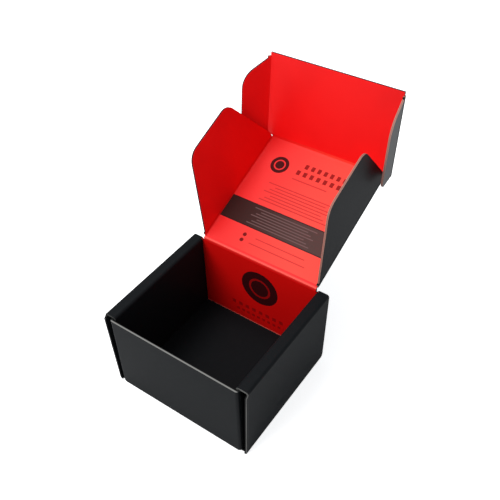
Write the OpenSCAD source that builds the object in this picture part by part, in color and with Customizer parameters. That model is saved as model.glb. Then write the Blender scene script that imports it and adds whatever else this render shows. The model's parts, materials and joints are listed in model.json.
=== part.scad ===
// Corrugated mailer box with roll-over side walls, a hinged lid with side wings,
// and a front flap whose ears tuck into slots at the front corners.
// The tray, lid, wings, flap and ears are panels of one folded sheet.
// Origin: centre of the base. +X runs right along the front wall, +Y runs back, +Z is up.

/* [Box] */
// Outside width across the feet of the two side walls
box_w = 110; // [90:1:160]
// Outside depth from the front wall to the back wall
box_d = 97; // [80:1:140]
// Height of the rolled tops of the side walls
wall_h = 66.5; // [50:0.5:90]
// How far the front wall's cut edge stays below the rolled tops
front_drop = 1.3; // [0.8:0.1:4]

/* [Board] */
// Thickness of the corrugated board
board_t = 1.4; // [1.1:0.1:1.8]
// Inner radius of a folded corner
fold_r = 0.6; // [0.4:0.1:1]
// Gap between layers that lie against each other
layer_gap = 0.1; // [0.1:0.05:0.3]
// How far a hinged panel starts from the round edge that it folds about
crease_gap = 0.25; // [0.2:0.05:0.5]
// How much a hinged panel is crushed on each face along its crease
crush = 0.45; // [0.4:0.05:0.5]

/* [Side walls] */
// Width of the slot between outer panel and corner flap that takes an ear
ear_slot = 2.7; // [2.4:0.1:4]
// How far a side wall's outer panel leans out from its foot to the rolled top
wall_lean = 2; // [0:0.25:3]
// How far the rolled tops' front ends stay behind the front wall's face
roll_setback = 2.7; // [2.2:0.1:6]
// How far the outer panels' front edges stay behind the front wall's face
panel_setback = 0.8; // [0.2:0.1:2]
// How far the side walls' rear edges stay in front of the back wall's face
rear_setback = 0.5; // [0.3:0.1:2]
// Radius of the side walls' rear bottom corners
rear_corner_r = 5; // [1:0.5:10]
// Length of the front corner flaps
front_flap_len = 42; // [20:1:44]
// Length of the rear corner flaps
rear_flap_len = 28; // [15:1:30]
// Width of each tab that locks an inner panel into the floor
tab_w = 16; // [8:1:24]
// Distance from the middle of a side wall to the middle of each tab
tab_offset = 24; // [14:1:26]
// Clearance of a tab in its floor slot, on each side
tab_clear = 0.15; // [0.1:0.05:0.4]

/* [Lid and wings] */
// Clearance between a folded wing and the inner panel beside it
wing_clear = 0.2; // [0.1:0.05:0.6]
// Height of the wings from fold to free edge
wing_h = 54; // [25:0.5:56]
// Distance from the lid's fold to the start of a wing
wing_start = 1.6; // [1.2:0.1:4]
// Angle of a wing's near edge to its fold
wing_near_angle = 60.5; // [45:0.5:70]
// Radius between a wing's near edge and its free edge
wing_near_r = 13; // [6:1:18]
// Distance from a wing's far edge to the front flap's fold
wing_end = 0.9; // [0.9:0.1:4]
// Height of the straight foot of a wing's far edge
wing_foot = 6; // [4:0.5:12]
// Lean of a wing's far edge above its foot
wing_far_angle = 20; // [5:1:25]
// Radius of a wing's far corner
wing_far_r = 9; // [2:0.5:12]

/* [Front flap and ears] */
// Clearance between the closed front flap and the front wall
flap_clear = 0.2; // [0.1:0.05:0.6]
// Height of the front flap from fold to free edge
flap_h = 66.3; // [45:0.1:66.5]
// Width of an ear from fold to free edge
ear_w = 22; // [18:0.5:32]
// Distance from the flap's fold to an ear's lower edge
ear_start = 2.5; // [2.5:0.1:8]
// Distance from an ear's upper edge to the flap's free edge
ear_end = 2.8; // [0.5:0.1:4]
// Slope of an ear's lower edge
ear_low_angle = 4; // [2:1:15]
// Slope of an ear's upper edge
ear_top_angle = 31; // [10:1:35]
// Radius of an ear's lower corner
ear_low_r = 5; // [2:0.5:8]
// Radius of an ear's upper corner
ear_top_r = 17; // [8:0.5:18]

/* [Open position] */
// Angle between the open lid and the closed lid
lid_open = 158; // [120:1:180]
// Fold of the front flap from flat
flap_fold = 63; // [30:1:88]
// Fold of the left wing from flat
left_wing_fold = 74; // [45:1:90]
// Fold of the right wing from flat
right_wing_fold = 90; // [80:1:105]
// Fold of the left ear from flat
left_ear_fold = 56; // [45:1:75]
// Fold of the right ear from flat
right_ear_fold = 82; // [60:1:88]

/* [Hidden] */

$fn = 64;
eps = 0.02;

// Folded corners
bend_r = fold_r + board_t;

// Layers of a side wall, from the outside in
outer_panel_x = box_w / 2;
slot_x = outer_panel_x - board_t;
corner_flap_x = slot_x - ear_slot;
inner_panel_x = corner_flap_x - board_t - layer_gap;
cavity_x = inner_panel_x - board_t;
rolled_x = outer_panel_x + wall_lean;
slot_top_x = rolled_x - board_t;

// Lengths along Y
front_y = -box_d / 2;
back_y = box_d / 2;
roll_front_y = front_y + roll_setback;
panel_front_y = front_y + panel_setback;
roll_rear_y = back_y - rear_setback;
inner_panel_y = box_d / 2 - bend_r;

// Heights
front_h = wall_h - front_drop;
roll_centre_z = wall_h - bend_r;
flap_top_z = roll_centre_z - layer_gap;

// The lid's fold stands half a board above the rolled tops
hinge_y = back_y - board_t / 2;
hinge_z = wall_h + board_t / 2 + layer_gap;
bead_r = board_t / 2 - eps;
crease = board_t / 2 + crease_gap;
panel_start = crease + crush;

// Lid, wings, flap and ears
wing_x = cavity_x - wing_clear - board_t / 2;
lid_l = hinge_y - front_y + flap_clear + board_t / 2;
wing_far_v = lid_l - wing_end;
ear_x = corner_flap_x + layer_gap + board_t / 2;
ear_far_u = flap_h - ear_end;

black_board = [0.16, 0.17, 0.18];
red_board = [0.9, 0.15, 0.12];

// Points of an arc about c, from angle a0 to angle a1
function arc(c, r, a0, a1, n = 8) =
    [for (i = [0:n]) c + r * [cos(a0 + (a1 - a0) * i / n), sin(a0 + (a1 - a0) * i / n)]];

// Board of a flat outline, centred on its own mid-plane
module board() {
    translate([0, 0, -board_t / 2])
        linear_extrude(board_t)
            children();
}

// Quarter of a folded corner, in the quadrant of +x and -y about the origin
module bend_profile() {
    intersection() {
        difference() {
            circle(bend_r);
            circle(fold_r);
        }
        translate([0, -bend_r])
            square([bend_r, bend_r]);
    }
}

// Round edge along +Y that a hinged panel folds about
module fold_bead(length) {
    rotate([-90, 0, 0])
        cylinder(h = length, r = bead_r);
}

// Crushed edge of a hinged panel, along +Y at its crease
module crushed_lip(length) {
    rotate([90, 0, 0])
        translate([0, 0, -length])
            linear_extrude(length)
                polygon([
                    [crease, crush - board_t / 2],
                    [panel_start, -board_t / 2],
                    [panel_start + crush, -board_t / 2],
                    [panel_start + crush, board_t / 2],
                    [panel_start, board_t / 2],
                    [crease, board_t / 2 - crush]
                ]);
}

// Section of a side wall across X and Z: outer panel, rolled top and inner panel
module roll_section() {
    difference() {
        union() {
            polygon([
                [cavity_x, bend_r - eps],
                [outer_panel_x, bend_r - eps],
                [rolled_x, roll_centre_z],
                [cavity_x, roll_centre_z]
            ]);
            translate([cavity_x + bend_r, roll_centre_z - eps])
                square([rolled_x - cavity_x - 2 * bend_r, bend_r + eps]);
            for (x = [cavity_x + bend_r, rolled_x - bend_r])
                translate([x, roll_centre_z])
                    circle(bend_r);
        }
        polygon([
            [inner_panel_x, 0],
            [slot_x, 0],
            [slot_x, bend_r],
            [slot_top_x, roll_centre_z],
            [inner_panel_x, roll_centre_z]
        ]);
        translate([inner_panel_x + fold_r, roll_centre_z - eps])
            square([slot_top_x - inner_panel_x - 2 * fold_r, fold_r + eps]);
        for (x = [inner_panel_x + fold_r, slot_top_x - fold_r])
            translate([x, roll_centre_z])
                circle(fold_r);
    }
}

// Outline of a side wall across Y and Z: its rear bottom corner is rounded,
// and its front edge steps back under the rolled top
module side_outline() {
    step_z = roll_centre_z - (roll_front_y - panel_front_y);
    polygon(concat(
        [[panel_front_y, 0]],
        arc([roll_rear_y - rear_corner_r, rear_corner_r], rear_corner_r, -90, 0),
        [
            [roll_rear_y, wall_h + 1],
            [roll_front_y, wall_h + 1],
            [roll_front_y, roll_centre_z],
            [panel_front_y, step_z]
        ]
    ));
}

// Right side wall: one strip of board rolled over the corner flaps and locked into the floor
module side_wall() {
    intersection() {
        translate([0, roll_rear_y, 0])
            rotate([90, 0, 0])
                linear_extrude(roll_rear_y - panel_front_y)
                    difference() {
                        roll_section();
                        translate([cavity_x - 1, 0])
                            square([board_t + 1 + eps, roll_centre_z]);
                    }
        rotate([90, 0, 90])
            linear_extrude(box_w)
                side_outline();
    }
    translate([outer_panel_x - bend_r, inner_panel_y, bend_r])
        rotate([90, 0, 0])
            linear_extrude(inner_panel_y - panel_front_y)
                bend_profile();
}

// Inner panel of the right side wall, with the tabs that lock it into the floor
module inner_panel() {
    foot_z = board_t + layer_gap;
    translate([cavity_x, -inner_panel_y, foot_z])
        cube([board_t, 2 * inner_panel_y, roll_centre_z + eps - foot_z]);
    for (y = [-tab_offset, tab_offset])
        translate([cavity_x, y - tab_w / 2, layer_gap])
            cube([board_t, tab_w, board_t + 1]);
}

// Floor slots for the tabs of the right inner panel
module tab_slots() {
    for (y = [-tab_offset, tab_offset])
        translate([cavity_x - tab_clear, y - tab_w / 2 - tab_clear, -1])
            cube([board_t + 2 * tab_clear, tab_w + 2 * tab_clear, board_t + 2]);
}

// Vertical corner and corner flap at the right end of the front or back wall, for a wall at -Y
module corner_flap(length, height) {
    translate([corner_flap_x - bend_r, -inner_panel_y, bend_r])
        linear_extrude(height - bend_r)
            bend_profile();
    end_y = length - inner_panel_y;
    taper = length / 5;
    translate([corner_flap_x - board_t, 0, 0])
        rotate([90, 0, 90])
            linear_extrude(board_t)
                polygon([
                    [-inner_panel_y - eps, bend_r],
                    [end_y - taper, bend_r],
                    [end_y, bend_r + taper],
                    [end_y, flap_top_z - taper],
                    [end_y - taper, flap_top_z],
                    [roll_front_y - layer_gap, flap_top_z],
                    [roll_front_y - 2 * layer_gap, height],
                    [-inner_panel_y - eps, height]
                ]);
}

// Wall folded up from the floor at -Y, with a flat outline across X and Z
module end_wall() {
    translate([0, front_y + board_t, 0])
        rotate([90, 0, 0])
            linear_extrude(board_t)
                children();
    translate([corner_flap_x - bend_r, -inner_panel_y, bend_r])
        rotate([0, -90, 0])
            linear_extrude(2 * (corner_flap_x - bend_r))
                mirror([1, 0, 0])
                    bend_profile();
}

// Outline of the front wall
module front_outline() {
    half = corner_flap_x - bend_r + eps;
    translate([-half, bend_r - eps])
        square([2 * half, front_h - bend_r + eps]);
}

// Outline of the back wall: full height across the lid's fold, lower shoulders under the rolled tops
module back_outline() {
    half = corner_flap_x - bend_r + eps;
    translate([-half, bend_r - eps])
        square([2 * half, flap_top_z - bend_r + eps]);
    translate([-wing_x, bend_r])
        square([2 * wing_x, hinge_z - bend_r]);
}

module tray() {
    color(black_board) {
        difference() {
            translate([bend_r - outer_panel_x - eps, -inner_panel_y - eps, 0])
                cube([2 * (outer_panel_x - bend_r + eps), 2 * (inner_panel_y + eps), board_t]);
            for (side = [0, 1])
                mirror([side, 0, 0])
                    tab_slots();
        }
        for (side = [0, 1])
            mirror([side, 0, 0]) {
                side_wall();
                inner_panel();
                corner_flap(front_flap_len, front_h);
                mirror([0, 1, 0])
                    corner_flap(rear_flap_len, flap_top_z);
            }
        end_wall()
            front_outline();
        mirror([0, 1, 0])
            end_wall()
                back_outline();
        translate([-wing_x, hinge_y, hinge_z])
            rotate([0, 0, -90])
                fold_bead(2 * wing_x);
    }
}

// Frame of the lid: X across, Y along the lid from its fold, Z out of its inner face
module on_lid() {
    translate([0, hinge_y, hinge_z])
        rotate([180 - lid_open, 0, 0])
            children();
}

// Frame of the front flap: X across, Y along the flap from its fold, Z out of its inner face
module on_flap() {
    on_lid()
        translate([0, lid_l, 0])
            rotate([flap_fold, 0, 0])
                children();
}

module lid() {
    color(red_board)
        on_lid() {
            board()
                translate([-wing_x, panel_start])
                    square([2 * wing_x, lid_l - panel_start]);
            rotate([0, 0, 90])
                translate([0, -wing_x + board_t, 0])
                    crushed_lip(2 * (wing_x - board_t));
            for (x = [-wing_x, wing_x])
                translate([x, wing_start, 0])
                    fold_bead(wing_far_v - wing_start);
            translate([-wing_x, lid_l, 0])
                rotate([0, 0, -90])
                    fold_bead(2 * wing_x);
        }
}

// Flat wing to the right of its fold along +Y
module wing_outline() {
    near = 90 - wing_near_angle;
    near_c = [
        wing_h - wing_near_r,
        wing_start + (wing_h - wing_near_r) * tan(near) + wing_near_r / cos(near)
    ];
    far_rise = wing_h - wing_far_r - wing_foot;
    far_c = [
        wing_h - wing_far_r,
        wing_far_v - far_rise * tan(wing_far_angle) - wing_far_r / cos(wing_far_angle)
    ];
    polygon(concat(
        [[panel_start, wing_start + panel_start * tan(near)]],
        arc(near_c, wing_near_r, near - 90, 0),
        arc(far_c, wing_far_r, 0, 90 - wing_far_angle),
        [[wing_foot, wing_far_v], [panel_start, wing_far_v]]
    ));
}

module wing(fold) {
    lip_start = wing_start + crease;
    translate([wing_x, 0, 0])
        rotate([0, -fold, 0]) {
            board()
                wing_outline();
            translate([0, lip_start, 0])
                crushed_lip(wing_far_v - lip_start);
        }
}

module left_wing() {
    color(red_board)
        on_lid()
            mirror([1, 0, 0])
                wing(left_wing_fold);
}

module right_wing() {
    color(black_board)
        on_lid()
            wing(right_wing_fold);
}

module front_flap() {
    color(red_board)
        on_flap() {
            board()
                translate([-ear_x, panel_start])
                    square([2 * ear_x, flap_h - panel_start]);
            rotate([0, 0, 90])
                translate([0, -wing_x, 0])
                    crushed_lip(2 * wing_x);
            for (x = [-ear_x, ear_x])
                translate([x, ear_start, 0])
                    fold_bead(ear_far_u - ear_start);
        }
}

// Flat ear to the right of its fold along +Y
module ear_outline() {
    low_c = [
        ear_w - ear_low_r,
        ear_start + (ear_w - ear_low_r) * tan(ear_low_angle) + ear_low_r / cos(ear_low_angle)
    ];
    top_c = [
        ear_w - ear_top_r,
        ear_far_u - (ear_w - ear_top_r) * tan(ear_top_angle) - ear_top_r / cos(ear_top_angle)
    ];
    polygon(concat(
        [[panel_start, ear_start + panel_start * tan(ear_low_angle)]],
        arc(low_c, ear_low_r, ear_low_angle - 90, 0),
        arc(top_c, ear_top_r, 0, 90 - ear_top_angle),
        [[panel_start, ear_far_u - panel_start * tan(ear_top_angle)]]
    ));
}

module ear(fold) {
    lip_start = ear_start + crease;
    lip_end = ear_far_u - crease;
    translate([ear_x, 0, 0])
        rotate([0, -fold, 0]) {
            board()
                ear_outline();
            translate([0, lip_start, 0])
                crushed_lip(lip_end - lip_start);
        }
}

module left_ear() {
    color(red_board)
        on_flap()
            mirror([1, 0, 0])
                ear(left_ear_fold);
}

module right_ear() {
    color(red_board)
        on_flap()
            ear(right_ear_fold);
}

tray();
lid();
left_wing();
right_wing();
front_flap();
left_ear();
right_ear();
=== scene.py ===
import json
import math
from collections import namedtuple

import bmesh
import bpy
from mathutils import Matrix, Vector

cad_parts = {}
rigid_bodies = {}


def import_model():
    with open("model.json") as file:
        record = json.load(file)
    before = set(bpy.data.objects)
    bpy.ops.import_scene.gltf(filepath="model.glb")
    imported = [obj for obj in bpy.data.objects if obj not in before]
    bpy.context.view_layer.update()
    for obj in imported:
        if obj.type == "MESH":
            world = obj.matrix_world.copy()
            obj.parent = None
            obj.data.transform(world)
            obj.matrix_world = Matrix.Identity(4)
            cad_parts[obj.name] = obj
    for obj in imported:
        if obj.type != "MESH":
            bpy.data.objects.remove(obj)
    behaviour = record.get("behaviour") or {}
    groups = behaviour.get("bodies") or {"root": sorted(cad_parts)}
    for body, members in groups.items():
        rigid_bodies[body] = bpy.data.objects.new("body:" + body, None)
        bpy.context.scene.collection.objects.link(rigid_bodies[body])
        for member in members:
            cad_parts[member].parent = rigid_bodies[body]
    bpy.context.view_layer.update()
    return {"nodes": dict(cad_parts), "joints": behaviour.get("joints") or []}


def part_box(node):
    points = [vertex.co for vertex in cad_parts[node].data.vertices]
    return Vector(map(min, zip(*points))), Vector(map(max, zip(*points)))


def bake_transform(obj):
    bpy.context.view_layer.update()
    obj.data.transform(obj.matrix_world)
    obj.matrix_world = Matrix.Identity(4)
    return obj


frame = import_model()

# Sizes in metres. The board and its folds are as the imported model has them.
MM = 0.001
BOARD_T = 1.4 * MM
HALF_T = BOARD_T / 2
SKIN = 0.03 * MM  # how far a crease's skin stands off the panels that it joins
REACH = 2.2 * MM  # how far from the fold it lies on them
SUNK_REACH = 2.6 * MM  # how far from the fold its ends have sunk into them
CRUSHED = 2.0 * MM  # how far from the fold the board beneath it is crushed, and keeps its print
RELIEF = 0.02 * MM  # depth of the bump of a surface

# Lengths of the wings' and ears' folds that stay bare at their ends
WING_START = 1.6 * MM
WING_END = 0.9 * MM
EAR_START = 2.5 * MM
EAR_END = 2.8 * MM

# Angles of the side panels from flat, in degrees, as the part's source has them
LEFT_WING = 74
RIGHT_WING = 90
LEFT_EAR = 56
RIGHT_EAR = 82

X = Vector((1, 0, 0))
Y = Vector((0, 1, 0))
UP = Vector((0, 0, 1))
MIDDLE = Vector((0, 0, 0))
joints = {joint["name"]: joint for joint in frame["joints"]}


def joint_point(name):
    return Vector(joints[name]["pos_m"])


def joint_axis(name):
    return Vector(joints[name]["axis"]).normalized()


# Frames of the panels: origin on the fold, "along" away from the fold, "normal" out of the inner face.
lid_along = joint_axis("right_wing_fold")
lid_normal = X.cross(lid_along)
flap_along = joint_axis("right_ear_fold")
flap_normal = X.cross(flap_along)
lid_origin = joint_point("lid_fold")
flap_origin = joint_point("front_flap_fold")
wing_x = joint_point("right_wing_fold").x

# Stretches of the folds that a crease covers
lid_length = (flap_origin - lid_origin).length
flap_length = (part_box("front_flap")[1][2] - flap_origin.z) / flap_along.z
LID_SPAN = (-wing_x, wing_x)
WING_SPAN = (WING_START, lid_length - WING_END)
EAR_SPAN = (EAR_START, flap_length - EAR_END)

SidePanel = namedtuple("SidePanel", "name parent parent_normal side origin along away normal span")


def side_panel(name, side, degrees):
    """A wing of the lid or an ear of the flap, on side -1 or 1, folded up by an angle from flat."""
    angle = math.radians(degrees)
    parent, parent_normal, along, span = "front_flap", flap_normal, flap_along, EAR_SPAN
    if name.endswith("wing"):
        parent, parent_normal, along, span = "lid", lid_normal, lid_along, WING_SPAN
    origin = joint_point(name + "_fold")
    away = X * side * math.cos(angle) + parent_normal * math.sin(angle)
    normal = (away.cross(along) * side).normalized()
    return SidePanel(name, parent, parent_normal, side, origin, along, away, normal, span)


SIDE_PANELS = (
    side_panel("left_wing", -1, LEFT_WING),
    side_panel("right_wing", 1, RIGHT_WING),
    side_panel("left_ear", -1, LEFT_EAR),
    side_panel("right_ear", 1, RIGHT_EAR),
)

# Widths of the soft borders of masks, in millimetres: of print, of the tray's larger faces, and of thin faces
PRINT_BORDER = 0.15
WALL_BORDER = 0.05
FACE_BORDER = 0.02


class Nodes:
    """One material's node tree. A mask is 1 where it holds and 0 elsewhere. Distances are in millimetres."""

    def __init__(self, name):
        self.material = bpy.data.materials.new(name)
        self.material.use_nodes = True
        self.tree = self.material.node_tree
        self.tree.nodes.clear()
        self.position = self.add("ShaderNodeTexCoord").outputs["Object"]

    def add(self, kind, **settings):
        """Adds a node and returns it."""
        node = self.tree.nodes.new(kind)
        for key, value in settings.items():
            setattr(node, key, value)
        return node

    def set(self, socket, value):
        """Links an output to an input, or gives the input a plain value."""
        if isinstance(value, bpy.types.NodeSocket):
            self.tree.links.new(value, socket)
        else:
            socket.default_value = value

    def math(self, operation, a, b=0.0, c=0.0):
        node = self.add("ShaderNodeMath", operation=operation)
        for socket, value in zip(node.inputs, (a, b, c)):
            self.set(socket, value)
        return node.outputs[0]

    def along(self, direction, origin=MIDDLE):
        """Distance of the shaded point from a point, along a direction."""
        moved = self.add("ShaderNodeVectorMath", operation="SUBTRACT")
        self.set(moved.inputs[0], self.position)
        moved.inputs[1].default_value = origin
        dot = self.add("ShaderNodeVectorMath", operation="DOT_PRODUCT")
        self.set(dot.inputs[0], moved.outputs[0])
        dot.inputs[1].default_value = direction / MM
        return dot.outputs["Value"]

    def ramp(self, value, low, high):
        """0 where value is below low, 1 where it is above high, and smooth between them."""
        node = self.add("ShaderNodeMapRange", interpolation_type="SMOOTHSTEP")
        self.set(node.inputs["Value"], value)
        node.inputs["From Min"].default_value = low
        node.inputs["From Max"].default_value = high
        return node.outputs["Result"]

    def above(self, value, edge, soft=PRINT_BORDER):
        return self.ramp(value, edge - soft / 2, edge + soft / 2)

    def below(self, value, edge, soft=PRINT_BORDER):
        return self.math("SUBTRACT", 1.0, self.above(value, edge, soft))

    def within(self, value, low, high, soft=PRINT_BORDER):
        return self.both(self.above(value, low, soft), self.below(value, high, soft))

    def both(self, *masks):
        result = masks[0]
        for mask in masks[1:]:
            result = self.math("MULTIPLY", result, mask)
        return result

    def any(self, *masks):
        result = masks[0]
        for mask in masks[1:]:
            result = self.math("MAXIMUM", result, mask)
        return result

    def scale(self, value, factor):
        return self.math("MULTIPLY", value, factor)

    def mix(self, factor, a, b):
        """A colour from a, where factor is 0, to b, where it is 1."""
        node = self.add("ShaderNodeMix", data_type="RGBA")
        self.set(node.inputs[0], factor)
        for socket, value in ((node.inputs[6], a), (node.inputs[7], b)):
            self.set(socket, (*value, 1) if isinstance(value, tuple) else value)
        return node.outputs[2]

    def blend(self, factor, a, b):
        """A number from a, where factor is 0, to b, where it is 1."""
        node = self.add("ShaderNodeMix", data_type="FLOAT")
        self.set(node.inputs[0], factor)
        self.set(node.inputs[2], a)
        self.set(node.inputs[3], b)
        return node.outputs[0]

    def print_over(self, colour, mask, ink, strength):
        """A colour with ink of some strength over it in a mask."""
        return self.mix(self.scale(mask, strength), colour, ink)

    def noise(self, scale, detail, roughness=0.5):
        node = self.add("ShaderNodeTexNoise")
        self.set(node.inputs["Vector"], self.position)
        node.inputs["Scale"].default_value = scale
        node.inputs["Detail"].default_value = detail
        node.inputs["Roughness"].default_value = roughness
        return node.outputs["Fac"]

    def inked(self, colour):
        """1 where a printed colour has little red in it."""
        parts = self.add("ShaderNodeSeparateColor")
        self.set(parts.inputs[0], colour)
        return self.below(parts.outputs[0], 0.35, soft=0.5)

    def surface(self, colour, roughness, height, specular):
        """Ends the tree with its shader and returns the material."""
        shader = self.add("ShaderNodeBsdfPrincipled")
        bump = self.add("ShaderNodeBump")
        bump.inputs["Strength"].default_value = 1.0
        bump.inputs["Distance"].default_value = RELIEF
        self.set(bump.inputs["Height"], height)
        self.set(shader.inputs["Base Color"], colour)
        self.set(shader.inputs["Roughness"], roughness)
        shader.inputs["Specular IOR Level"].default_value = specular
        self.set(shader.inputs["Normal"], bump.outputs[0])
        output = self.add("ShaderNodeOutputMaterial")
        self.tree.links.new(shader.outputs[0], output.inputs["Surface"])
        return self.material


# Colours, as linear light
RED = (0.82, 0.004, 0.004)
RED_DEEP = (0.70, 0.002, 0.003)
# A pale red, painted as a highlight along the lid's fold and the back wall's foot
RED_HIGHLIGHT = (0.95, 0.16, 0.12)
# The lid's red in painted shade at its left, beside the left wing, and with painted sheen at its right
LID_SHADED = (0.64, 0.003, 0.003)
LID_SHEEN = (0.88, 0.057, 0.031)
# The back wall's red, darkened as painted shade inside the tray
WALL_RED_SHADED = (0.56, 0.004, 0.003)
BLACK = (0.0055, 0.0065, 0.0075)
BLACK_SCUFFED = (0.018, 0.020, 0.021)
INK = (0.014, 0.003, 0.004)
INK_THIN = (0.16, 0.003, 0.004)
INK_FADED = (0.40, 0.003, 0.004)
# The lid's band in painted shade at its left and with painted sheen at its right
BAND_SHADED = (0.012, 0.005, 0.004)
BAND_SHEEN = (0.060, 0.044, 0.040)
PALE_LINE = (0.24, 0.14, 0.14)
# The tray's cut edges in painted shade, and the pale grey of a lit cut edge
EDGE_SHADED = (0.012, 0.012, 0.012)
EDGE_GREY = (0.20, 0.20, 0.19)

# Cut edges, each with the colour of its facings and of its core; the dark one is painted shade and the pale
# one is painted lit
GREY_EDGE = (EDGE_GREY, (0.11, 0.09, 0.07))
SHADED_CUT_EDGE = ((0.055, 0.006, 0.012), (0.020, 0.004, 0.006))
LIT_CUT_EDGE = ((0.40, 0.20, 0.16), (0.20, 0.09, 0.07))

# Shares of one colour over another: the lid's painted shade and sheen over its red, the band over the red,
# and the back wall's painted shade over its red
LID_PAINTED_LIGHT = 0.7
BAND_COVER = 0.98
WALL_SHADE_SHARE = 0.8

# Roughness of the red film, of the black one, and of ink and bare board
FILM = 0.45
BLACK_FILM = 0.5
INKED = 0.95

# Specular level of the red satin film, of the black matt one, and of two panels that differ from the others
SATIN = 0.21
MATT = 0.055
SHEEN = {"right_wing": 0.10, "right_ear": 0.8}

# Ripples over the flutes and grain of the paper: the pitch in millimetres, and shares of the relief
FLUTE_PITCH = 3.0
RIPPLE = 0.10
GRAIN = 0.35

# Depth of a printed face, and half the thickness of the core, in millimetres
FACE_DEPTH = 0.04
CORE_HALF = 0.42

# The print, in millimetres across from the middle and up from the fold or the ground
Ring = namedtuple("Ring", "x y outer inner", defaults=(0,))
Bars = namedtuple("Bars", "left right middle height pitch")
Lines = namedtuple("Lines", "left right first last count weight")

LID_DISC = Ring(x=-27.7, y=76, outer=7.2)
LID_RING = Ring(x=-27.7, y=76, outer=4.6, inner=3.5)
LID_DOTS = (Ring(x=-20.3, y=14.4, outer=1.5), Ring(x=-20.3, y=9.8, outer=1.5))
LID_BARS = (
    Bars(left=-9, right=28, middle=82, height=4.0, pitch=5.3),
    Bars(left=-12.7, right=26, middle=75.4, height=4.0, pitch=5.6),
)
LID_LINES = (
    Lines(left=-13, right=16, first=69.2, last=69.2, count=1, weight=1.0),
    Lines(left=-27, right=29, first=44.5, last=59.5, count=7, weight=0.9),
    Lines(left=-14, right=32, first=9.6, last=14.6, count=2, weight=0.8),
)
BAND_LINES = Lines(left=-25, right=27, first=23.9, last=36.8, count=7, weight=0.7)
WALL_DISC = Ring(x=1.2, y=41.3, outer=15.5)
WALL_RING = Ring(x=1.2, y=41.3, outer=9.2, inner=7.4)
WALL_BARS = (
    Bars(left=-24, right=24, middle=15.5, height=3.4, pitch=6.0),
    Bars(left=-20, right=22, middle=9.5, height=2.4, pitch=4.6),
)
LID_SHADE_TO_SHEEN = (-48, 32)  # across the lid, from where its painted shade is deepest to where its painted sheen is brightest
BAND_SPAN = (20.7, 40.0)  # the lid's dark band
BAND_BORDER = 0.8  # width of the darker line along each side of it
HINGE_HALF = 0.7  # half the width of the painted highlight along the lid's fold
HINGE_SOFT = 1.2  # width of its soft borders

# Where a bar starts and ends, and the width of its soft sides, as shares of its row's pitch
BAR_START = 0.02
BAR_END = 0.55
BAR_SOFT = 0.04
LINE_STEP = 0.06  # how much the lines of a block differ in length at each end, as a share of the longest


def red_colour(g):
    """Red print: an even red that is a little deeper in large soft patches."""
    patches = g.noise(scale=18, detail=2)
    return g.mix(g.above(patches, 0.55, soft=0.5), RED, RED_DEEP)


def black_colour(g):
    """Black print with faint scuffs in the film over it."""
    scuffs = g.math("POWER", g.noise(scale=260, detail=6, roughness=0.65), 3.0)
    return g.print_over(BLACK, scuffs, BLACK_SCUFFED, strength=0.35)


def cut_colour(g, through, facing, core):
    """A cut edge across the board's thickness: facings with a darker core of fibres."""
    inside = g.below(g.math("ABSOLUTE", through), CORE_HALF, soft=0.2)
    fibres = g.blend(g.noise(scale=900, detail=4, roughness=0.7), 0.3, 1.0)
    return g.mix(g.both(inside, fibres), facing, core)


def relief(g, across):
    """Height of the printed surface: faint ripples over the flutes, and paper grain."""
    ripple = g.math("SINE", g.scale(across, 2 * math.pi / FLUTE_PITCH))
    grain = g.noise(scale=1500, detail=3, roughness=0.6)
    return g.math("ADD", g.scale(ripple, RIPPLE), g.scale(grain, GRAIN))


def strip(g, u, v, left, right, middle, height):
    """A rectangle, by its two sides, its middle line and its height."""
    return g.both(g.within(u, left, right), g.within(v, middle - height / 2, middle + height / 2))


def ring(g, u, v, shape):
    """A ring about a point, or a disc where its inner radius is 0."""
    du = g.math("SUBTRACT", u, shape.x)
    dv = g.math("SUBTRACT", v, shape.y)
    radius = g.math("SQRT", g.math("ADD", g.math("MULTIPLY", du, du), g.math("MULTIPLY", dv, dv)))
    return g.within(radius, shape.inner, shape.outer)


def bars(g, u, v, row):
    """A row of short bars."""
    phase = g.math("FRACT", g.scale(g.math("SUBTRACT", u, row.left), 1 / row.pitch))
    shown = g.within(phase, BAR_START, BAR_END, BAR_SOFT)
    return g.both(strip(g, u, v, row.left, row.right, row.middle, row.height), shown)


def lines(g, u, v, block):
    """Evenly spaced thin lines, of three lengths in turn."""
    masks = []
    for i in range(block.count):
        at = block.first + (block.last - block.first) * i / max(1, block.count - 1)
        short = (block.right - block.left) * LINE_STEP * (i % 3)
        masks.append(strip(g, u, v, block.left + short, block.right - short, at, block.weight))
    return g.any(*masks)


def lid_shade_to_sheen(g):
    """0 at the lid's left side, in painted shade, to 1 at its right, with painted sheen."""
    return g.ramp(g.along(X, lid_origin), *LID_SHADE_TO_SHEEN)


def lid_red(g, base):
    """The lid's red, with nothing printed over it, in painted shade at its left side and with painted sheen
    at its right.
    """
    return g.mix(LID_PAINTED_LIGHT, base, g.mix(lid_shade_to_sheen(g), LID_SHADED, LID_SHEEN))


def band_print(g, base):
    """The lid's dark band over its red, in painted shade at its left and with painted sheen at its right."""
    return g.mix(BAND_COVER, base, g.mix(lid_shade_to_sheen(g), BAND_SHADED, BAND_SHEEN))


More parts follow.
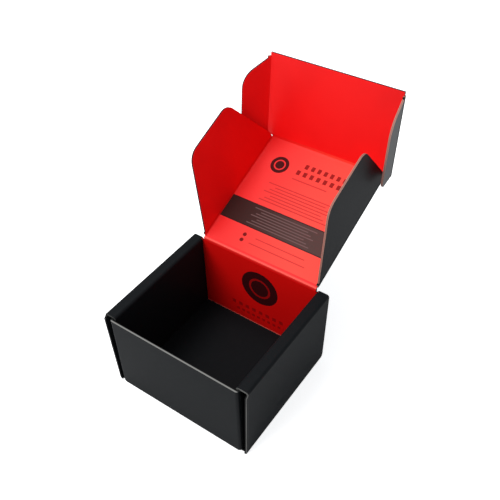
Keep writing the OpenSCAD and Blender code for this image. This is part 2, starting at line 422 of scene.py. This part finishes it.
def lid_print(g, base):
    """The lid's inner face: a dark band with pale lines, a ring on a disc, and rows of bars and lines, over
    red with painted shade and sheen across it.
    """
    u = g.along(X, lid_origin)
    v = g.along(lid_along, lid_origin)
    rows = g.any(*(bars(g, u, v, row) for row in LID_BARS))
    blocks = g.any(*(lines(g, u, v, block) for block in LID_LINES))
    dots = g.any(*(ring(g, u, v, dot) for dot in LID_DOTS))
    in_band = g.within(v, *BAND_SPAN)
    borders = g.any(*(g.within(v, at - BAND_BORDER, at + BAND_BORDER) for at in BAND_SPAN))
    colour = g.print_over(lid_red(g, base), rows, INK_THIN, strength=0.85)
    colour = g.print_over(colour, ring(g, u, v, LID_DISC), INK, strength=0.95)
    colour = g.print_over(colour, ring(g, u, v, LID_RING), RED, strength=0.8)
    colour = g.print_over(colour, blocks, INK_FADED, strength=0.8)
    colour = g.print_over(colour, dots, INK, strength=0.8)
    colour = g.mix(in_band, colour, band_print(g, base))
    colour = g.print_over(colour, g.both(borders, in_band), INK, strength=0.6)
    return g.print_over(colour, lines(g, u, v, BAND_LINES), PALE_LINE, strength=0.4)


def wall_print(g, base):
    """The back wall's inner face: a large ring on a disc, over two rows of bars."""
    u = g.along(X)
    v = g.along(UP)
    rows = g.any(*(bars(g, u, v, row) for row in WALL_BARS))
    colour = g.print_over(base, rows, INK_THIN, strength=0.65)
    colour = g.print_over(colour, ring(g, u, v, WALL_DISC), INK, strength=0.97)
    return g.print_over(colour, ring(g, u, v, WALL_RING), RED, strength=0.3)


def hinge_highlight(g, base):
    """Red with a painted highlight, paler, along the lid's fold."""
    line = g.within(g.along(lid_along, lid_origin), -HINGE_HALF, HINGE_HALF, HINGE_SOFT)
    return g.print_over(base, line, RED_HIGHLIGHT, strength=0.4)


def plain_print(g, base):
    """Red with nothing over it."""
    return base


def inner_skin(name, inner_print):
    """Red print alone, for the inner skin of a crease, with the painted shade, sheen or highlight that its
    print adds.
    """
    g = Nodes(name)
    colour = inner_print(g, red_colour(g))
    roughness = g.blend(g.inked(colour), FILM, INKED)
    return g.surface(colour, roughness, relief(g, g.along(lid_along)), SATIN)


def outer_skin(name):
    """Black print alone, for the outer skin of a crease."""
    g = Nodes(name)
    return g.surface(black_colour(g), BLACK_FILM, relief(g, g.along(lid_along)), MATT)


def cut_end(name):
    """Cut board, painted as lit, for the two ends of a crease."""
    g = Nodes(name)
    return g.surface(cut_colour(g, 0.0, *LIT_CUT_EDGE), INKED, g.noise(scale=1200, detail=3), MATT)


def beside_fold(g, origin, out, along, low, high):
    """1 on the crushed board beside a fold, between two distances along it."""
    near = g.within(g.along(out, origin), -CRUSHED / MM, CRUSHED / MM)
    return g.both(near, g.within(g.along(along, origin), low / MM, high / MM))


def panel_material(name, origin, normal, across, folds, inner_print=plain_print, edge=GREY_EDGE,
                   specular=SATIN):
    """A panel of board: red inside, black outside, and cut board on its edges, except beside its folds."""
    g = Nodes(name)
    through = g.along(normal, origin)
    folded = g.any(*(beside_fold(g, *fold) for fold in folds))
    face = HALF_T / MM - FACE_DEPTH
    inside = g.any(g.above(through, face, FACE_BORDER), g.both(folded, g.above(through, 0, FACE_BORDER)))
    outside = g.any(g.below(through, -face, FACE_BORDER), g.both(folded, g.below(through, 0, FACE_BORDER)))
    print_colour = inner_print(g, red_colour(g))
    colour = g.mix(inside, cut_colour(g, through, *edge), print_colour)
    colour = g.mix(outside, colour, black_colour(g))
    roughness = g.blend(inside, INKED, g.blend(g.inked(print_colour), FILM, INKED))
    roughness = g.blend(outside, roughness, BLACK_FILM)
    return g.surface(colour, roughness, relief(g, g.along(across)), specular)


# Places on the tray, in millimetres: a roll is a side wall's rolled top, a panel is its outer panel.
tray_low, tray_high = (Vector(corner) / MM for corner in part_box("tray"))
WALL_H = 66.5
BEND_R = 2.0
FIBRE = 0.03
CAVITY = wing_x / MM + 0.9  # half the width between the side walls
ROLL_FRONT = tray_low.y + 2.7
ROLL_REAR = tray_high.y - 0.5
ROLL_CENTRE = WALL_H - BEND_R
ROLL_SIDE = CAVITY - 0.1
PANEL_FRONT = tray_low.y + 0.8
PANEL_FOOT_X = 55.0
PANEL_LEAN = (tray_high.x - PANEL_FOOT_X) / (ROLL_CENTRE - BEND_R)
PANEL_FACING = 0.6  # thickness of the pale, painted-lit part of the right panel's edges; the rest is painted shade
FRONT_TOP = 65.2
FRONT_REAR = ROLL_FRONT - 0.3  # the front wall's top edge lies before this
FRONT_FACING = 0.95  # thickness of the pale part of that edge; the rest is painted shade
WALL_INNER = tray_high.y - BOARD_T / MM
WALL_SKIN = (WALL_INNER - 0.45, WALL_INNER + 0.3)  # from before the back wall's inner face to behind it
WALL_SIDE = CAVITY + 0.9
WALL_FOOT = 1.65
WALL_FOOT_HIGHLIGHT = 2.2  # height up to which the back wall's foot has a painted highlight


def on_plane(g, distance, at):
    """1 on a flat edge that lies at one distance, to within the width of a paper fibre."""
    return g.within(distance, at - FIBRE, at + FIBRE, soft=0.01)


def tray_material():
    """Black board inside and out, red in painted shade on the back wall's inner face with a painted highlight
    along its foot, and cut board on the raw edges in painted shade, paler where painted lit.
    """
    g = Nodes("tray_board")
    across = g.along(X)
    x = g.math("ABSOLUTE", across)
    y = g.along(Y)
    z = g.along(UP)
    right_side = g.above(across, 0)

    in_wall = g.both(
        g.within(y, *WALL_SKIN, FACE_BORDER),
        g.below(x, WALL_SIDE, WALL_BORDER),
        g.above(z, WALL_FOOT, WALL_BORDER),
    )
    # A painted highlight along the back wall's foot
    foot_highlight = g.both(in_wall, g.below(z, WALL_FOOT_HIGHLIGHT, soft=0.3))
    # The back wall's red, darkened as painted shade, under its print
    colour = g.mix(in_wall, black_colour(g), wall_print(g, g.mix(WALL_SHADE_SHARE, red_colour(g), WALL_RED_SHADED)))
    colour = g.print_over(colour, foot_highlight, RED_HIGHLIGHT, strength=0.5)

    front_edge = g.both(
        g.above(z, FRONT_TOP - FIBRE, FACE_BORDER),
        g.below(y, FRONT_REAR, FACE_BORDER),
    )
    front_facing = g.below(y, tray_low.y + FRONT_FACING, soft=0.3)
    roll_edges = g.both(
        g.any(on_plane(g, y, ROLL_FRONT), on_plane(g, y, ROLL_REAR)),
        g.above(x, ROLL_SIDE, FACE_BORDER),
    )
    # Painted light: the rolls' cut edges are painted paler on the right side than on the left
    roll_lit = g.blend(right_side, 0.15, 0.5)
    slope = on_plane(g, g.math("SUBTRACT", y, z), ROLL_FRONT - ROLL_CENTRE)
    panel_edges = g.both(g.any(on_plane(g, y, PANEL_FRONT), slope), g.above(x, CAVITY, WALL_BORDER))
    face_x = g.math("MULTIPLY_ADD", g.math("SUBTRACT", z, BEND_R), PANEL_LEAN, PANEL_FOOT_X)
    # Painted light: only the right side's panel edges have a pale outer facing, which varies at random; the
    # rest is painted shade
    facing = g.both(g.above(g.math("SUBTRACT", x, face_x), -PANEL_FACING, soft=0.3), right_side)
    worn_and_lit = g.both(facing, g.blend(g.noise(scale=60, detail=2), 0.25, 0.75))

    # Painted shade on every cut edge, with the painted-lit parts laid over it
    colour = g.mix(g.any(panel_edges, roll_edges), colour, EDGE_SHADED)
    colour = g.mix(g.both(panel_edges, worn_and_lit), colour, EDGE_GREY)
    colour = g.mix(g.both(roll_edges, roll_lit), colour, EDGE_GREY)
    # The front wall's top edge: a pale outer facing, with painted shade on the rest
    colour = g.mix(front_edge, colour, g.mix(front_facing, EDGE_SHADED, EDGE_GREY))
    roughness = g.blend(g.any(front_edge, roll_edges, panel_edges), FILM, INKED)
    return g.surface(colour, roughness, relief(g, y), MATT)


def dress(node, material):
    """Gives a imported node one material."""
    for slot in frame["nodes"][node].material_slots:
        slot.material = material


def side_folds(parent):
    """The folds of a panel's two side panels."""
    return [(panel.origin, X, panel.along, *panel.span) for panel in SIDE_PANELS if panel.parent == parent]


def dress_nodes():
    """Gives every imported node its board."""
    lid_folds = [(origin, lid_along, X, *LID_SPAN) for origin in (lid_origin, flap_origin)]
    lid_folds += side_folds("lid")
    flap_folds = [(flap_origin, flap_along, X, *LID_SPAN)]
    flap_folds += side_folds("front_flap")
    lid_board = panel_material("lid_board", lid_origin, lid_normal, lid_along, lid_folds, lid_print)
    # The flap's cut edges are painted in shade
    flap_board = panel_material("flap_board", flap_origin, flap_normal, flap_along, flap_folds,
                                edge=SHADED_CUT_EDGE)
    dress("tray", tray_material())
    dress("lid", lid_board)
    dress("front_flap", flap_board)
    for panel in SIDE_PANELS:
        folds = [(panel.origin, panel.away, panel.along, *panel.span)]
        # Painted light: the left panels' cut edges are painted in shade, the right panels' painted lit
        edge = SHADED_CUT_EDGE if panel.side < 0 else LIT_CUT_EDGE
        specular = SHEEN.get(panel.name, SATIN)
        board = panel_material(panel.name + "_board", panel.origin, panel.normal, panel.along, folds,
                               edge=edge, specular=specular)
        dress(panel.name, board)


def arc_points(start, end, steps):
    """Directions from one unit vector to another, turning evenly."""
    angle = start.angle(end)
    if angle < 1e-4:
        return [start]
    axis = start.cross(end).normalized()
    return [Matrix.Rotation(angle * i / steps, 3, axis) @ start for i in range(steps + 1)]


def skin_path(away, toward, parent_normal, child_normal):
    """One side of a crease's section, from the parent panel round the fold to the child panel."""
    convex = away.dot(child_normal) < 0
    stand_off = HALF_T + SKIN
    sunk = HALF_T - SKIN
    path = [away * SUNK_REACH + parent_normal * sunk, away * REACH + parent_normal * stand_off]
    if convex:
        path += [d * stand_off for d in arc_points(parent_normal, child_normal, steps=8)]
    else:
        path.append((parent_normal + child_normal) * stand_off / (1 + parent_normal.dot(child_normal)))
    path += [toward * REACH + child_normal * stand_off, toward * SUNK_REACH + child_normal * sunk]
    return path


# Materials of a crease, in the order of its slots. Only the wings' creases have the last one.
INNER, OUTER, ENDS, BAND = range(4)
SHARP = math.radians(35)


def crease(name, origin, along, span, away, toward, normals, materials, band=()):
    """The folded stretch of board between two panels.

    The span and the band are distances along the fold. Within the band, the parent panel's side has
    the band's material.
    """
    places = (span[0], *band, span[1])
    inner = skin_path(away, toward, normals[0], normals[1])
    outer = skin_path(away, toward, -normals[0], -normals[1])
    section = inner + outer[::-1]
    mesh = bpy.data.meshes.new(name)
    bm = bmesh.new()
    rows = [[bm.verts.new(origin + along * place + p) for p in section] for place in places]
    count = len(section)
    for i, (row, following) in enumerate(zip(rows, rows[1:])):
        for j in range(count):
            k = (j + 1) % count
            face = bm.faces.new((row[j], row[k], following[k], following[j]))
            face.material_index = INNER if j < len(inner) - 1 else OUTER
            if band and i == 1 and j < len(inner) // 2:
                face.material_index = BAND
            face.smooth = True
    for row in (rows[0][::-1], rows[-1]):
        face = bm.faces.new(row)
        face.material_index = ENDS
    bmesh.ops.recalc_face_normals(bm, faces=bm.faces)
    bm.to_mesh(mesh)
    bm.free()
    mesh.set_sharp_from_angle(angle=SHARP)
    piece = bpy.data.objects.new(name, mesh)
    bpy.context.collection.objects.link(piece)
    for material in materials:
        mesh.materials.append(material)
    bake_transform(piece)


def creases():
    """The creases of all six joints."""
    ends = cut_end("cut_board")
    black = outer_skin("black_skin")
    red = inner_skin("red_skin", plain_print)
    lid = inner_skin("lid_skin", lid_red)
    band = inner_skin("band_skin", band_print)
    # The lid's fold has a painted highlight on its inner skin
    hinge = inner_skin("hinge_highlight_skin", hinge_highlight)
    crease("lid_crease", lid_origin, X, LID_SPAN, -UP, lid_along,
           (-Y, lid_normal), (hinge, black, ends))
    crease("flap_crease", flap_origin, X, LID_SPAN, -lid_along, flap_along,
           (lid_normal, flap_normal), (lid, black, ends))
    for panel in SIDE_PANELS:
        skins, band_places = (red, black, ends), ()
        if panel.parent == "lid":
            skins, band_places = (lid, black, ends, band), [place * MM for place in BAND_SPAN]
        crease(panel.name + "_crease", panel.origin, panel.along, panel.span,
               -X * panel.side, panel.away, (panel.parent_normal, panel.normal), skins, band_places)


# Camera, at the place and angle of the photograph
CAMERA_PLACE = Vector((0.1981, -0.2335, 0.3995))
AZIMUTH = math.radians(36.05)
ELEVATION = math.radians(42.99)
ROLL = math.radians(-1.87)
LENS = 49.46
SENSOR = 36
NEAR_CLIP = 0.01


def add_camera():
    look = Vector((
        -math.sin(AZIMUTH) * math.cos(ELEVATION),
        math.cos(AZIMUTH) * math.cos(ELEVATION),
        -math.sin(ELEVATION),
    ))
    level = Vector((math.cos(AZIMUTH), math.sin(AZIMUTH), 0))
    upright = level.cross(look)
    right = level * math.cos(ROLL) + upright * math.sin(ROLL)
    up = upright * math.cos(ROLL) - level * math.sin(ROLL)
    data = bpy.data.cameras.new("camera")
    data.lens = LENS
    data.sensor_width = SENSOR
    data.clip_start = NEAR_CLIP
    camera = bpy.data.objects.new("camera", data)
    camera.matrix_world = Matrix.Translation(CAMERA_PLACE) @ Matrix((right, up, -look)).transposed().to_4x4()
    bpy.context.collection.objects.link(camera)
    bpy.context.scene.camera = camera


def area_light(name, place, target, size, power):
    """A round soft light that shines towards a point."""
    data = bpy.data.lights.new(name, "AREA")
    data.shape = "DISK"
    data.size = size
    data.energy = power
    light = bpy.data.objects.new(name, data)
    light.location = place
    light.rotation_euler = (Vector(target) - Vector(place)).to_track_quat("-Z", "Y").to_euler()
    bpy.context.collection.objects.link(light)


FLOOR_HALF = 3.0
FLOOR_COLOUR = (0.82, 0.82, 0.82, 1)
FLOOR_GLOW = 0.68  # seen by the camera alone, so that the lit floor is white
COVERED = 4  # millimetres in from the tray's outline, from where it covers the floor
WHITE = (1, 1, 1, 1)


def add_floor():
    """A plain pale floor that stays white to the camera, apart from shadow and what the tray covers."""
    mesh = bpy.data.meshes.new("floor")
    bm = bmesh.new()
    corners = ((-1, -1), (1, -1), (1, 1), (-1, 1))
    bm.faces.new([bm.verts.new((x * FLOOR_HALF, y * FLOOR_HALF, 0)) for x, y in corners])
    bm.to_mesh(mesh)
    bm.free()
    g = Nodes("floor")
    diffuse = g.add("ShaderNodeBsdfDiffuse")
    diffuse.inputs["Color"].default_value = FLOOR_COLOUR
    glow = g.add("ShaderNodeEmission")
    glow.inputs["Color"].default_value = WHITE
    seen = g.add("ShaderNodeLightPath").outputs["Is Camera Ray"]
    clear = g.any(
        g.above(g.math("ABSOLUTE", g.along(X)), tray_high.x - COVERED),
        g.above(g.math("ABSOLUTE", g.along(Y)), tray_high.y - COVERED),
    )
    g.set(glow.inputs["Strength"], g.scale(g.both(seen, clear), FLOOR_GLOW))
    lit_and_glowing = g.add("ShaderNodeAddShader")
    g.tree.links.new(diffuse.outputs[0], lit_and_glowing.inputs[0])
    g.tree.links.new(glow.outputs[0], lit_and_glowing.inputs[1])
    output = g.add("ShaderNodeOutputMaterial")
    g.tree.links.new(lit_and_glowing.outputs[0], output.inputs["Surface"])
    mesh.materials.append(g.material)
    piece = bpy.data.objects.new("floor", mesh)
    bpy.context.collection.objects.link(piece)


WORLD_COLOUR = (0.93, 0.96, 1.0, 1)
WORLD_LIGHT = 0.6


def add_world():
    """A soft cool light from all round, where the camera sees plain white."""
    world = bpy.data.worlds.new("world")
    world.use_nodes = True
    tree = world.node_tree
    tree.nodes.clear()
    path = tree.nodes.new("ShaderNodeLightPath")
    white = tree.nodes.new("ShaderNodeBackground")
    white.inputs["Color"].default_value = WHITE
    white.inputs["Strength"].default_value = 1.0
    soft = tree.nodes.new("ShaderNodeBackground")
    soft.inputs["Color"].default_value = WORLD_COLOUR
    soft.inputs["Strength"].default_value = WORLD_LIGHT
    choose = tree.nodes.new("ShaderNodeMixShader")
    output = tree.nodes.new("ShaderNodeOutputWorld")
    tree.links.new(path.outputs["Is Camera Ray"], choose.inputs[0])
    tree.links.new(soft.outputs[0], choose.inputs[1])
    tree.links.new(white.outputs[0], choose.inputs[2])
    tree.links.new(choose.outputs[0], output.inputs["Surface"])
    bpy.context.scene.world = world


dress_nodes()
creases()
add_camera()
area_light("key", place=(-0.40, -0.86, 0.95), target=(0, 0.03, 0.06), size=0.8, power=11)
area_light("overhead", place=(-0.38, 0.05, 1.15), target=(0, 0.05, 0.05), size=0.5, power=5)
add_floor()
add_world()
bpy.context.scene.view_settings.view_transform = "Standard"
